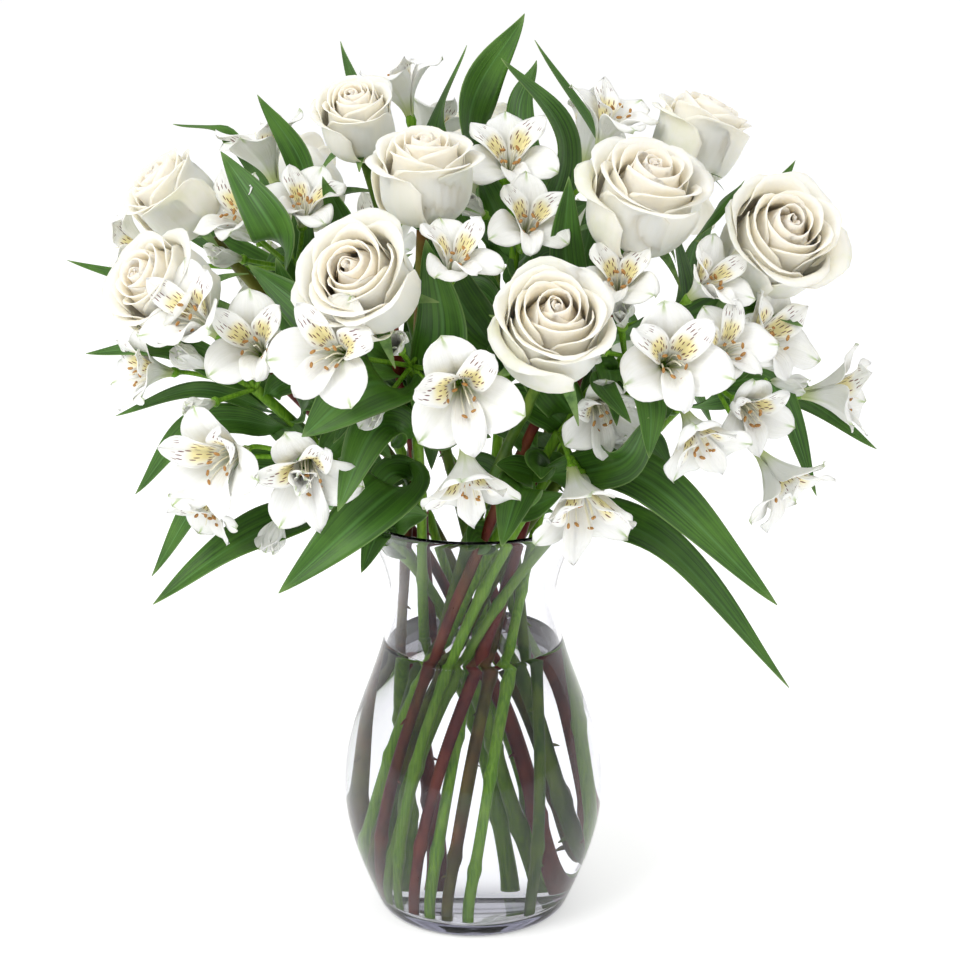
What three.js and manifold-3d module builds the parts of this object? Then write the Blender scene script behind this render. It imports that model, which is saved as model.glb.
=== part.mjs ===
// Roses and alstroemerias standing in a clear glass vase with water.
// Millimetres, +Z up. The origin is the middle of the vase's underside.
import * as THREE from 'three';
import { mergeVertices } from 'three/addons/utils/BufferGeometryUtils.js';
import Module from 'manifold-3d';

const wasm = await Module();
wasm.setup();

// ---- Driving dimensions -------------------------------------------------------------------

const VASE_HEIGHT = 224;
const VASE_FOOT_RADIUS = 50;
const VASE_BELLY_RADIUS = 69.5;
const VASE_NECK_RADIUS = 44;
const VASE_RIM_RADIUS = 63;
const BELLY_HEIGHT = 69;
const NECK_HEIGHT = 178;
const WALL = 2.6;
const FLOOR_THICKNESS = 7;
const WATER_LEVEL = 150;

const ROSE_STEM_RADIUS = 3;
const ALSTROEMERIA_STEM_RADIUS = 2.8;
const PEDICEL_RADIUS = 1.6;
const LEAF_THICKNESS = 0.9;

const GAP = 0.35; // clearance that touching pieces keep
const STEM_SPACING = 2.4; // smallest air gap between two stems
const LEVEL_STEP = 14; // height between two rings of a stem
const STEM_SIDES = 6;
const VASE_SIDES = 28;
const FLOWER_SIDES = 12;

// ---- The bouquet --------------------------------------------------------------------------
// Each flower: where its middle is, which way it faces, and its radius.

const ROSES = [
  { at: [-148, -5, 385], face: [-0.6, -0.3, 0.75], radius: 25 },
  { at: [-148, -55, 350], face: [-0.6, -0.62, 0.5], radius: 28 },
  { at: [-57, -5, 424], face: [-0.1, -0.5, 0.85], radius: 22 },
  { at: [-23, -60, 405], face: [0.05, -0.28, 0.95], radius: 27 },
  { at: [-49, -110, 366], face: [-0.35, -0.78, 0.52], radius: 30 },
  { at: [37, -115, 344], face: [0.02, -0.72, 0.68], radius: 31 },
  { at: [81, -65, 394], face: [0.18, -0.42, 0.88], radius: 30 },
  { at: [112, 15, 411], face: [0.35, -0.05, 0.93], radius: 26 },
  { at: [146, -45, 371], face: [0.27, -0.75, 0.58], radius: 32 },
  { at: [-92, 92, 372], face: [-0.5, 0.75, 0.45], radius: 28 },
  { at: [8, 112, 384], face: [0.0, 0.8, 0.6], radius: 29 },
  { at: [98, 98, 360], face: [0.55, 0.75, 0.35], radius: 28 },
];

// Each alstroemeria: the top of its stem, its florets, and the leaves along its stem.
// A leaf starts on the stem at a height, passes a point, and ends at its tip.

const ALSTROEMERIAS = [
  {
    top: [-108, -52, 302],
    florets: [
      { at: [-104, -86, 331], face: [-0.15, -0.85, 0.5], radius: 22 },
      { at: [-132, -84, 344], face: [-0.5, -0.6, 0.6], radius: 22 },
      { at: [-160, -52, 310], face: [-0.85, -0.5, 0.2], radius: 18 },
    ],
    leaves: [
      { from: 266, via: [-82, -38, 318], tip: [-96, -48, 366], width: 20 },
      { from: 292, via: [-144, -50, 320], tip: [-192, -42, 316], width: 12 },
      { from: 284, via: [-136, -44, 298], tip: [-180, -32, 281], width: 7 },
      { from: 276, via: [-136, -50, 282], tip: [-170, -42, 243], width: 13 },
      { from: 290, via: [-140, -20, 336], tip: [-203, -18, 358], width: 9 },
    ],
  },
  {
    top: [-82, -62, 268],
    florets: [
      { at: [-120, -92, 277], face: [-0.5, -0.8, 0.05], radius: 24 },
      { at: [-80, -102, 274], face: [0.0, -0.9, -0.2], radius: 22 },
      { at: [-128, -86, 252], face: [-0.45, -0.55, -0.65], radius: 18 },
    ],
    leaves: [
      { from: 258, via: [-122, -70, 262], tip: [-161, -62, 206], width: 14 },
      { from: 240, via: [-108, -68, 230], tip: [-157, -92, 202], width: 20 },
    ],
  },
  {
    top: [-92, 4, 352],
    florets: [
      { at: [-106, 22, 404], face: [-0.35, 0.1, 0.95], radius: 21 },
      { at: [-116, -18, 380], face: [-0.5, -0.5, 0.7], radius: 19 },
      { at: [-84, -22, 386], face: [0.1, -0.5, 0.85], radius: 18 },
      { at: [-172, 14, 358], face: [-0.95, 0.1, 0.25], radius: 18 },
    ],
    leaves: [
      { from: 322, via: [-62, -12, 366], tip: [-74, -30, 402], width: 18 },
      { from: 338, via: [-96, -40, 376], tip: [-124, -24, 414], width: 20 },
      { from: 346, via: [-84, 4, 396], tip: [-108, 8, 437], width: 14 },
      { from: 336, via: [-120, 44, 404], tip: [-153, 26, 419], width: 8 },
    ],
  },
  {
    top: [-30, -70, 316],
    florets: [
      { at: [-64, -126, 338], face: [-0.25, -0.9, 0.3], radius: 23 },
      { at: [-5, -134, 322], face: [0.05, -0.98, 0.05], radius: 25 },
      { at: [-8, -92, 374], face: [0.2, -0.5, 0.8], radius: 18 },
      { at: [-2, -102, 270], face: [0.1, -0.6, -0.8], radius: 22 },
    ],
    leaves: [
      { from: 276, via: [-46, -92, 292], tip: [-64, -118, 258], width: 20 },
      { from: 290, via: [-14, -82, 336], tip: [-22, -94, 384], width: 22 },
      { from: 300, via: [-50, -112, 318], tip: [-80, -122, 296], width: 27 },
      { from: 306, via: [-66, -66, 332], tip: [-110, -46, 362], width: 22 },
      { from: 250, via: [-44, -88, 254], tip: [-93, -118, 217], width: 25 },
    ],
  },
  {
    top: [22, 6, 372],
    florets: [
      { at: [-36, 28, 436], face: [-0.3, 0.1, 0.95], radius: 19 },
      { at: [18, -14, 408], face: [0.0, -0.7, 0.7], radius: 20 },
      { at: [68, 0, 424], face: [0.35, -0.1, 0.95], radius: 20 },
      { at: [27, -54, 384], face: [0.1, -0.7, 0.6], radius: 18 },
    ],
    leaves: [
      { from: 354, via: [-2, 8, 424], tip: [26, 18, 476], width: 22 },
      { from: 336, via: [46, 6, 408], tip: [14, 2, 456], width: 20 },
      { from: 318, via: [-18, 32, 400], tip: [-3, 56, 455], width: 14 },
      { from: 300, via: [-8, -34, 344], tip: [-18, -52, 388], width: 20 },
      { from: 284, via: [52, -14, 350], tip: [60, -26, 398], width: 18 },
    ],
  },
  {
    top: [76, -50, 318],
    florets: [
      { at: [93, -112, 330], face: [0.1, -0.9, 0.35], radius: 24 },
      { at: [70, -84, 362], face: [0.0, -0.7, 0.7], radius: 18 },
      { at: [112, -80, 360], face: [0.6, -0.5, 0.65], radius: 18 },
      { at: [120, -96, 332], face: [0.3, -0.7, 0.6], radius: 18 },
    ],
    leaves: [
      { from: 296, via: [46, -58, 364], tip: [46, -64, 409], width: 15 },
      { from: 280, via: [34, -76, 318], tip: [24, -90, 372], width: 20 },
      { from: 308, via: [84, -94, 308], tip: [84, -110, 282], width: 14 },
      { from: 300, via: [62, -88, 312], tip: [75, -112, 300], width: 10 },
      { from: 304, via: [126, -44, 340], tip: [161, -60, 334], width: 16 },
      { from: 306, via: [58, -70, 352], tip: [79, -86, 392], width: 9 },
    ],
  },
  {
    top: [122, -26, 300],
    florets: [
      { at: [142, -62, 329], face: [0.6, -0.6, 0.5], radius: 22 },
      { at: [182, -20, 290], face: [0.95, -0.2, 0.1], radius: 22 },
      { at: [152, -52, 256], face: [0.6, -0.5, -0.65], radius: 22 },
      { at: [134, -74, 296], face: [0.35, -0.85, -0.1], radius: 18 },
    ],
    leaves: [
      { from: 272, via: [104, -26, 336], tip: [100, -30, 378], width: 18 },
      { from: 290, via: [150, -28, 296], tip: [173, -42, 242], width: 15 },
      { from: 284, via: [158, -8, 288], tip: [206, -20, 260], width: 13 },
      { from: 294, via: [146, 10, 372], tip: [164, 18, 402], width: 9 },
      { from: 288, via: [112, 20, 352], tip: [136, -6, 396], width: 14 },
    ],
  },
  {
    top: [44, -48, 276],
    florets: [
      { at: [108, -92, 288], face: [0.35, -0.7, -0.6], radius: 20 },
      { at: [52, -92, 256], face: [0.2, -0.75, -0.6], radius: 25 },
      { at: [62, -76, 296], face: [0.2, -0.9, -0.2], radius: 18 },
    ],
    leaves: [
      { from: 250, via: [70, -84, 272], tip: [84, -104, 300], width: 18 },
      { from: 240, via: [22, -78, 256], tip: [14, -104, 236], width: 18 },
      { from: 262, via: [88, -68, 256], tip: [150, -88, 200], width: 22 },
      { from: 232, via: [92, -58, 224], tip: [159, -70, 149], width: 20 },
    ],
  },
  {
    top: [-58, 66, 312],
    florets: [
      { at: [-48, 116, 340], face: [-0.2, 0.85, 0.5], radius: 22 },
      { at: [-108, 76, 318], face: [-0.8, 0.55, 0.1], radius: 22 },
      { at: [-66, 108, 290], face: [-0.3, 0.85, -0.35], radius: 22 },
      { at: [-22, 74, 408], face: [0.3, 0.4, 0.85], radius: 20 },
    ],
    leaves: [
      { from: 294, via: [-50, 40, 402], tip: [-68, 50, 458], width: 14 },
      { from: 270, via: [-24, 78, 318], tip: [-20, 92, 368], width: 18 },
      { from: 300, via: [-104, 106, 296], tip: [-140, 118, 250], width: 16 },
      { from: 286, via: [-50, 106, 272], tip: [-66, 136, 226], width: 20 },
      { from: 304, via: [-128, 52, 348], tip: [-176, 58, 372], width: 13 },
    ],
  },
  {
    top: [66, 62, 306],
    florets: [
      { at: [50, 118, 334], face: [0.25, 0.85, 0.45], radius: 22 },
      { at: [132, 66, 318], face: [0.85, 0.5, 0.1], radius: 22 },
      { at: [74, 106, 282], face: [0.3, 0.85, -0.35], radius: 22 },
      { at: [60, 66, 404], face: [0.2, 0.5, 0.85], radius: 20 },
    ],
    leaves: [
      { from: 262, via: [76, 34, 376], tip: [31, 38, 460], width: 15 },
      { from: 264, via: [28, 72, 316], tip: [30, 96, 356], width: 18 },
      { from: 292, via: [104, 102, 286], tip: [134, 116, 234], width: 18 },
      { from: 278, via: [44, 104, 262], tip: [44, 138, 212], width: 20 },
      { from: 296, via: [150, 44, 330], tip: [188, 52, 350], width: 13 },
      { from: 300, via: [26, 96, 400], tip: [34, 110, 440], width: 14 },
    ],
  },
];

// ---- Solids -------------------------------------------------------------------------------

// A closed three.js geometry as a solid that can be joined and cut.
function toSolid(geometry) {
  const bare = geometry.clone();
  bare.deleteAttribute('normal');
  bare.deleteAttribute('uv');
  const merged = mergeVertices(bare, 1e-4);
  return new wasm.Manifold(
    new wasm.Mesh({
      numProp: 3,
      vertProperties: new Float32Array(merged.attributes.position.array),
      triVerts: new Uint32Array(merged.index.array),
    }),
  );
}

function toGeometry(solid) {
  const mesh = solid.getMesh();
  const geometry = new THREE.BufferGeometry();
  geometry.setAttribute('position', new THREE.BufferAttribute(mesh.vertProperties, 3));
  geometry.setIndex(new THREE.BufferAttribute(mesh.triVerts, 1));
  return geometry;
}

// The biggest body of a solid: a cut may leave crumbs beside it.
function biggestBody(solid) {
  let best = null;
  for (const body of solid.decompose()) {
    if (!best || body.volume() > best.volume()) {
      best = body;
    }
  }
  return best;
}

function joined(solids) {
  return solids.reduce((whole, solid) => whole.add(solid));
}

function boxesMeet(one, other) {
  const a = one.boundingBox();
  const b = other.boundingBox();
  return [0, 1, 2].every((axis) => a.min[axis] < b.max[axis] && b.min[axis] < a.max[axis]);
}

// A solid with room cut in it for every obstacle that it meets.
function cutAround(solid, obstacles) {
  let rest = solid;
  for (const obstacle of obstacles) {
    if (boxesMeet(rest, obstacle)) {
      rest = rest.subtract(obstacle);
    }
  }
  return biggestBody(rest);
}

// ---- Shapes -------------------------------------------------------------------------------

const UP = new THREE.Vector3(0, 0, 1);

function vector(list) {
  return new THREE.Vector3(...list);
}

// Turns a lathe's own axis from +Y to the given direction and puts it at a place.
function aim(geometry, place, direction) {
  const turn = new THREE.Quaternion();
  turn.setFromUnitVectors(new THREE.Vector3(0, 1, 0), direction);
  geometry.applyQuaternion(turn);
  geometry.translate(place.x, place.y, place.z);
  return geometry;
}

function lathe(points, sides) {
  const profile = points.map(([radius, height]) => new THREE.Vector2(radius, height));
  return new THREE.LatheGeometry(profile, sides);
}

// A round rod along a curve.
function rod(points, radius, sides, steps) {
  const section = new THREE.Shape();
  for (let corner = 0; corner < sides; corner += 1) {
    const angle = (corner / sides) * 2 * Math.PI;
    const x = radius * Math.cos(angle);
    const y = radius * Math.sin(angle);
    if (corner === 0) {
      section.moveTo(x, y);
    } else {
      section.lineTo(x, y);
    }
  }
  const extrudePath = new THREE.CatmullRomCurve3(points, false, 'centripetal');
  return toSolid(new THREE.ExtrudeGeometry(section, { steps, extrudePath, bevelEnabled: false }));
}

// The vase's outside, as smooth curves from the foot through the belly and neck to the rim.
function vaseRadius(height) {
  const swell = (from, to, share) => from + (to - from) * (0.5 - 0.5 * Math.cos(Math.PI * share));
  if (height < BELLY_HEIGHT) {
    const share = height / BELLY_HEIGHT;
    return VASE_FOOT_RADIUS + (VASE_BELLY_RADIUS - VASE_FOOT_RADIUS) * Math.sin((Math.PI / 2) * share);
  }
  if (height < NECK_HEIGHT) {
    const share = (height - BELLY_HEIGHT) / (NECK_HEIGHT - BELLY_HEIGHT);
    return swell(VASE_BELLY_RADIUS, VASE_NECK_RADIUS, share);
  }
  const share = (height - NECK_HEIGHT) / (VASE_HEIGHT - NECK_HEIGHT);
  return VASE_NECK_RADIUS + (VASE_RIM_RADIUS - VASE_NECK_RADIUS) * share ** 1.6;
}

const PROFILE_STEPS = 9;

function profileHeights(bottom, top) {
  const heights = [];
  for (let step = 0; step <= PROFILE_STEPS; step += 1) {
    heights.push(bottom + ((top - bottom) * step) / PROFILE_STEPS);
  }
  return heights;
}

// The glass, thicker by `grow` on every side when it is used as an obstacle.
function vaseSolid(grow = 0) {
  const outside = profileHeights(0, VASE_HEIGHT).map((h) => [vaseRadius(h) + grow, h]);
  const inside = profileHeights(FLOOR_THICKNESS, VASE_HEIGHT).map((h) => [
    vaseRadius(h) - WALL - grow,
    h,
  ]);
  outside[0][1] -= grow;
  outside[outside.length - 1][1] += grow;
  inside[0][1] += grow;
  inside[inside.length - 1][1] += grow;
  const profile = [[0, -grow], ...outside, ...inside.reverse(), [0, FLOOR_THICKNESS + grow]];
  return toSolid(lathe(profile, VASE_SIDES).rotateX(Math.PI / 2));
}

// The water fills the vase up to its level, a gap away from the glass.
function waterSolid() {
  const bottom = FLOOR_THICKNESS + GAP;
  const heights = profileHeights(bottom, WATER_LEVEL);
  const side = heights.map((h) => [vaseRadius(h) - WALL - GAP - 0.5, h]);
  const profile = [[0, bottom], ...side, [0, WATER_LEVEL]];
  return toSolid(lathe(profile, VASE_SIDES).rotateX(Math.PI / 2));
}

// A rose head: a green calyx that swells into the cup of petals, open at the top.
const ROSE_DEPTH = 1.75; // calyx to petal tips, in radii
const ROSE_OUTLINE = [
  [0, 0],
  [0.2, 0.02],
  [0.3, 0.16],
  [0.72, 0.42],
  [1, 0.95],
  [0.9, 1.4],
  [0.6, 1.75],
  [0, 1.55],
];

// An outline at a flower's size: its outside moves down and out by `grow`, its inside up.
function sizedOutline(outline, radius, grow) {
  const widest = outline.findIndex(([r]) => r === 1);
  return outline.map(([r, h], index) => [
    r * (radius + 2 * grow),
    h * radius + (index > widest ? grow : -grow),
  ]);
}

function roseSolid(rose, grow = 0) {
  const direction = vector(rose.face).normalize();
  const outline = sizedOutline(ROSE_OUTLINE, rose.radius, grow);
  return toSolid(aim(lathe(outline, FLOWER_SIDES), roseCalyx(rose), direction));
}

// Where the stem meets the rose head.
function roseCalyx(rose) {
  const direction = vector(rose.face).normalize();
  return vector(rose.at).addScaledVector(direction, (-ROSE_DEPTH / 2) * rose.radius);
}

// A floret: a trumpet that opens into six petals, three broad and three narrow.
const FLORET_DEPTH = 1.5; // base to mouth, in radii
const FLORET_OUTLINE = [
  [0, 0],
  [0.13, 0],
  [0.2, 0.7],
  [1, 1.5],
  [0.9, 1.6],
  [0, 0.85],
];
const PETAL_VALLEY = 0.62; // radius between two petals, against the radius at a petal

function floretSolid(floret, grow = 0) {
  const direction = vector(floret.face).normalize();
  const trumpet = lathe(sizedOutline(FLORET_OUTLINE, floret.radius, grow), FLOWER_SIDES);
  const spots = trumpet.attributes.position;
  for (let index = 0; index < spots.count; index += 1) {
    const angle = Math.atan2(spots.getZ(index), spots.getX(index));
    const petal = Math.round((angle / (2 * Math.PI)) * FLOWER_SIDES);
    if (Math.abs(petal) % 2 === 1) {
      spots.setX(index, spots.getX(index) * PETAL_VALLEY);
      spots.setZ(index, spots.getZ(index) * PETAL_VALLEY);
    }
  }
  return toSolid(aim(trumpet, floretBase(floret), direction));
}

function floretBase(floret) {
  const direction = vector(floret.face).normalize();
  return vector(floret.at).addScaledVector(direction, (-FLORET_DEPTH / 2) * floret.radius);
}

// A floret's own stalk, from the top of the stem to the base of its trumpet.
const PEDICEL_SIDES = 4;

function pedicelSolid(top, floret, grow = 0) {
  const base = floretBase(floret);
  const direction = vector(floret.face).normalize();
  const inside = base.clone().addScaledVector(direction, 2.5);
  const before = base.clone().addScaledVector(direction, -0.3 * top.distanceTo(base));
  return rod([top, before, inside], PEDICEL_RADIUS + grow, PEDICEL_SIDES, 3);
}

// A leaf: a long blade, widest a third of the way along, that bends through its middle point.
const LEAF_STEPS = 5;

function leafWidth(share) {
  return Math.max(0.1, Math.sin(Math.PI * share ** 0.75) ** 0.8);
}

function leafSolid(leaf, start, grow = 0) {
  const curve = new THREE.CatmullRomCurve3([start, vector(leaf.via), vector(leaf.tip)]);
  const blade = new THREE.BoxGeometry(1, 1, 1, 1, 1, LEAF_STEPS);
  const spots = blade.attributes.position;
  const outward = new THREE.Vector3(leaf.tip[0], leaf.tip[1], 0).normalize();
  const topSide = UP.clone().addScaledVector(outward, 0.6);
  for (let index = 0; index < spots.count; index += 1) {
    const share = spots.getZ(index) + 0.5;
    const along = curve.getTangent(share);
    const across = topSide.clone().cross(along).normalize();
    const normal = along.clone().cross(across).normalize();
    const width = leaf.width * leafWidth(share) + 2 * grow;
    const place = curve.getPoint(share);
    place.addScaledVector(across, spots.getX(index) * width);
    place.addScaledVector(normal, spots.getY(index) * (LEAF_THICKNESS + 2 * grow));
    place.addScaledVector(along, (share < 0.5 ? -1 : 1) * grow);
    spots.setXYZ(index, place.x, place.y, place.z);
  }
  return toSolid(blade);
}

// ---- Stems --------------------------------------------------------------------------------

const FOOT_SPREAD = 0.95; // how far out the feet stand, against the room inside the glass
const FOOT_HEIGHT = FLOOR_THICKNESS + 2;
const RISE_POWER = 1.35; // how late a stem leans out above the neck
const BELLY_BOW = 0.5; // how far stems bow out halfway up the belly, against their place

function roomInVase(height, radius) {
  return vaseRadius(height) - WALL - GAP - radius - 1;
}

// Stems stand in a spiral: seen from above each is a straight line that passes the axis at
// its waist, all on the same side, so that neighbours lean the same way and don't cross.
function stemCourse(end, radius, waist) {
  const reach = Math.hypot(end.x, end.y);
  const nearest = Math.min(waist, reach * 0.6);
  const headAngle = Math.atan2(end.y, end.x);
  const waistAngle = headAngle - Math.acos(nearest / reach);
  const footReach = Math.max(nearest + 1, roomInVase(FOOT_HEIGHT, radius) * FOOT_SPREAD);
  const side = new THREE.Vector2(Math.cos(waistAngle), Math.sin(waistAngle));
  const along = new THREE.Vector2(-side.y, side.x);
  const below = Math.sqrt(footReach ** 2 - nearest ** 2);
  const above = Math.sqrt(reach ** 2 - nearest ** 2);
  const levels = Math.max(3, Math.round((end.z - FOOT_HEIGHT) / LEVEL_STEP));
  const course = [];
  for (let level = 0; level <= levels; level += 1) {
    const height = FOOT_HEIGHT + ((end.z - FOOT_HEIGHT) * level) / levels;
    const drop = (NECK_HEIGHT - height) / (NECK_HEIGHT - FOOT_HEIGHT);
    let travel = -below * drop;
    let bow = 1 + BELLY_BOW * Math.sin(Math.PI * drop);
    if (height > NECK_HEIGHT) {
      travel = above * ((height - NECK_HEIGHT) / (end.z - NECK_HEIGHT)) ** RISE_POWER;
      bow = 1;
    }
    const x = bow * (side.x * nearest + along.x * travel);
    const y = bow * (side.y * nearest + along.y * travel);
    course.push(new THREE.Vector3(x, y, height));
  }
  return { course, radius };
}

// Where a course is at a height, or null above its end.
function placeAt(stem, height) {
  const { course } = stem;
  const last = course.length - 1;
  const rise = (course[last].z - course[0].z) / last;
  const share = (height - course[0].z) / rise;
  if (share > last) {
    return null;
  }
  const low = Math.min(Math.floor(share), last - 1);
  return course[low].clone().lerp(course[low + 1], share - low);
}

const SETTLING_ROUNDS = 160;

// Stems push each other aside, and the glass keeps them in, until none touch.
function settle(stems) {
  for (let round = 0; round < SETTLING_ROUNDS; round += 1) {
    for (const stem of stems) {
      for (let level = 0; level < stem.course.length - 1; level += 1) {
        const place = stem.course[level];
        for (const other of stems) {
          const near = other === stem ? null : placeAt(other, place.z);
          if (near) {
            const wanted = 1.12 * (stem.radius + other.radius) + STEM_SPACING;
            const apart = Math.hypot(place.x - near.x, place.y - near.y);
            if (apart < wanted) {
              const push = (0.5 * (wanted - apart)) / Math.max(apart, 0.01);
              place.x += (place.x - near.x) * push;
              place.y += (place.y - near.y) * push;
            }
          }
        }
        if (place.z < VASE_HEIGHT) {
          const reach = Math.hypot(place.x, place.y);
          const room = roomInVase(Math.max(place.z, FOOT_HEIGHT), stem.radius);
          const hold = Math.min(1, room / Math.max(reach, 0.01));
          place.x *= hold;
          place.y *= hold;
        }
      }
      for (let level = 1; level < stem.course.length - 1; level += 1) {
        const middle = stem.course[level - 1].clone().lerp(stem.course[level + 1], 0.5);
        stem.course[level].lerp(middle.setZ(stem.course[level].z), 0.12);
      }
    }
  }
}

const STEPS_PER_LEVEL = 0.32; // a stem bends gently, so it needs few rings

function stemSolid(stem, grow = 0) {
  const points = stem.course.map((place) => place.clone());
  if (grow) {
    points[0].z -= grow;
    const last = points.length - 1;
    const tip = points[last].clone().sub(points[last - 1]).normalize();
    points[last].addScaledVector(tip, grow);
  }
  const steps = Math.round(points.length * STEPS_PER_LEVEL);
  return rod(points, stem.radius + grow, STEM_SIDES, steps);
}

// ---- Build --------------------------------------------------------------------------------

const WAISTS = [30, 21, 12]; // how far from the axis the stems pass the neck, in turn

const roseStems = ROSES.map((rose, index) => {
  const end = roseCalyx(rose);
  const hidden = vector(rose.face).normalize();
  end.addScaledVector(hidden, -GAP - 0.5);
  return stemCourse(end, ROSE_STEM_RADIUS, WAISTS[index % WAISTS.length]);
});
const alstroemeriaStems = ALSTROEMERIAS.map((flower, index) =>
  stemCourse(vector(flower.top), ALSTROEMERIA_STEM_RADIUS, WAISTS[(index + 1) % WAISTS.length]),
);
const allStems = [...roseStems, ...alstroemeriaStems];
settle(allStems);

const stemObstacles = allStems.map((stem) => stemSolid(stem, GAP));
const vaseObstacle = vaseSolid(GAP);

const petalWhite = { color: 0xf4f2ea, roughness: 0.55 };
const creamPetal = { color: 0xf2e8cf, roughness: 0.6 };
const roseGreen = { color: 0x4a4a28, roughness: 0.6 };
const leafGreen = { color: 0x2f6a1f, roughness: 0.45 };
const glass = { color: 0xe4ecee, roughness: 0.05 };
const clearWater = { color: 0xd8e2e4, roughness: 0.05 };

const bouquet = new THREE.Group();

function addPiece(name, solid, finish) {
  const material = new THREE.MeshStandardMaterial({ metalness: 0, ...finish });
  const mesh = new THREE.Mesh(toGeometry(solid), material);
  mesh.name = name;
  bouquet.add(mesh);
}

// The umbels come first: each is its florets and their stalks, grown together.
const umbelObstacles = [];
ALSTROEMERIAS.forEach((flower, index) => {
  const top = vector(flower.top).addScaledVector(UP, GAP + 1);
  const parts = (grow) => [
    ...flower.florets.map((floret) => pedicelSolid(top, floret, grow)),
    ...flower.florets.map((floret) => floretSolid(floret, grow)),
  ];
  const umbel = cutAround(joined(parts(0)), [
    vaseObstacle,
    ...stemObstacles,
    ...umbelObstacles,
  ]);
  addPiece(`alstroemeria_${index + 1}_florets`, umbel, petalWhite);
  umbelObstacles.push(joined([umbel, ...parts(GAP)]));
});

const bloomObstacles = [];
ROSES.forEach((rose, index) => {
  const obstacles = [vaseObstacle, ...stemObstacles, ...umbelObstacles, ...bloomObstacles];
  const bloom = cutAround(roseSolid(rose), obstacles);
  addPiece(`rose_${index + 1}_bloom`, bloom, creamPetal);
  bloomObstacles.push(bloom.add(roseSolid(rose, GAP)));
});

roseStems.forEach((stem, index) => {
  addPiece(`rose_${index + 1}_stem`, stemSolid(stem), roseGreen);
});

// The leaves grow from their own stem and make room for everything else.
const leafObstacles = [];
ALSTROEMERIAS.forEach((flower, index) => {
  const own = alstroemeriaStems[index];
  const leaves = (grow) =>
    flower.leaves.map((leaf) => leafSolid(leaf, placeAt(own, leaf.from), grow));
  const others = stemObstacles.filter((_, stem) => stem !== roseStems.length + index);
  const green = cutAround(joined([stemSolid(own), ...leaves(0)]), [
    vaseObstacle,
    ...others,
    ...umbelObstacles,
    ...bloomObstacles,
    ...leafObstacles,
  ]);
  addPiece(`alstroemeria_${index + 1}_stem_and_leaves`, green, leafGreen);
  leafObstacles.push(joined([green, ...leaves(GAP)]));
});

addPiece('vase', vaseSolid(), glass);
addPiece('water', cutAround(waterSolid(), stemObstacles), clearWater);

export default bouquet;
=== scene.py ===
# %% [markdown]
# # Roses and alstroemerias in a glass vase
# The construction model gives every stem, flower head and the vase at its real place and size.
# This lesson dresses it: blown glass, water, stems, leaves, rose petals and alstroemeria petals.

# %% Load the frame
import math

import bpy
import numpy as np
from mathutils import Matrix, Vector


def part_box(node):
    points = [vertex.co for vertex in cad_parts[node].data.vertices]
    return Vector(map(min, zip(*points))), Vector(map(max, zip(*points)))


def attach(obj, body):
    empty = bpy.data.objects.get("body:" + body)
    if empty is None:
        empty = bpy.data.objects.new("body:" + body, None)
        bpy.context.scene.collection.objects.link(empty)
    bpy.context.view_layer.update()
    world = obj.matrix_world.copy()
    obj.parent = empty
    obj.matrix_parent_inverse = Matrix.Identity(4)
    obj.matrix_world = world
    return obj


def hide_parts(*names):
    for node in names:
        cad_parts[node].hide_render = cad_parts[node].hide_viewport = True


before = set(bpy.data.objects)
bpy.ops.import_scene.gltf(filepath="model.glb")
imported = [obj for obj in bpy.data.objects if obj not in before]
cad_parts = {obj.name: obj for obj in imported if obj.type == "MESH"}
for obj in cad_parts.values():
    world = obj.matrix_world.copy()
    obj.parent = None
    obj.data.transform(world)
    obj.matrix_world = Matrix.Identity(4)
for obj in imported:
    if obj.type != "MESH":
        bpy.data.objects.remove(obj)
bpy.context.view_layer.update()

rng = np.random.default_rng(11)
MM = 0.001

# %% [markdown]
# ## The camera
# The vase is seen a little from above with a long lens, so its rim and foot are narrow ovals.
# It stands back about six times the vase's height.

# %% Camera
LENS_DOWNWARD = math.radians(17)
camera_data = bpy.data.cameras.new("camera")
camera_data.lens = 99.0
camera_data.sensor_width = 36.0
camera_data.clip_end = 50.0
camera = bpy.data.objects.new("camera", camera_data)
camera.location = (3.6 * MM, -1313 * MM, 639 * MM)
camera.rotation_euler = (math.pi / 2 - LENS_DOWNWARD, 0, 0)
bpy.context.scene.collection.objects.link(camera)
bpy.context.scene.camera = camera
bpy.context.scene.view_settings.view_transform = "Standard"

# %% [markdown]
# ## Material tools
# A finish is a graph of nodes. `Value` wraps one number socket, so that its maths can be written
# as plain expressions, and `Finish` adds any other node with its settings and inputs.


# %% Material tools
class Value:
    """A number inside a finish: adding, multiplying and so on add Math nodes."""

    def __init__(self, finish, socket):
        self.finish = finish
        self.socket = socket

    def math(self, operation, *others):
        return self.finish.value("ShaderNodeMath", {"operation": operation}, [self, *others])

    def __add__(self, other):
        return self.math("ADD", other)

    __radd__ = __add__

    def __mul__(self, other):
        return self.math("MULTIPLY", other)

    __rmul__ = __mul__

    def __sub__(self, other):
        return self.math("SUBTRACT", other)

    def __rsub__(self, other):
        return self.finish.value("ShaderNodeMath", {"operation": "SUBTRACT"}, [other, self])

    def __truediv__(self, other):
        return self.math("DIVIDE", other)

    def __pow__(self, other):
        return self.math("POWER", other)

    def __abs__(self):
        return self.math("ABSOLUTE")

    def ramp(self, low, high):
        """0 below low, 1 above high, and a smooth rise between them."""
        settings = {"interpolation_type": "SMOOTHSTEP"}
        return self.finish.value("ShaderNodeMapRange", settings, [self, low, high, 0.0, 1.0])


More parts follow.
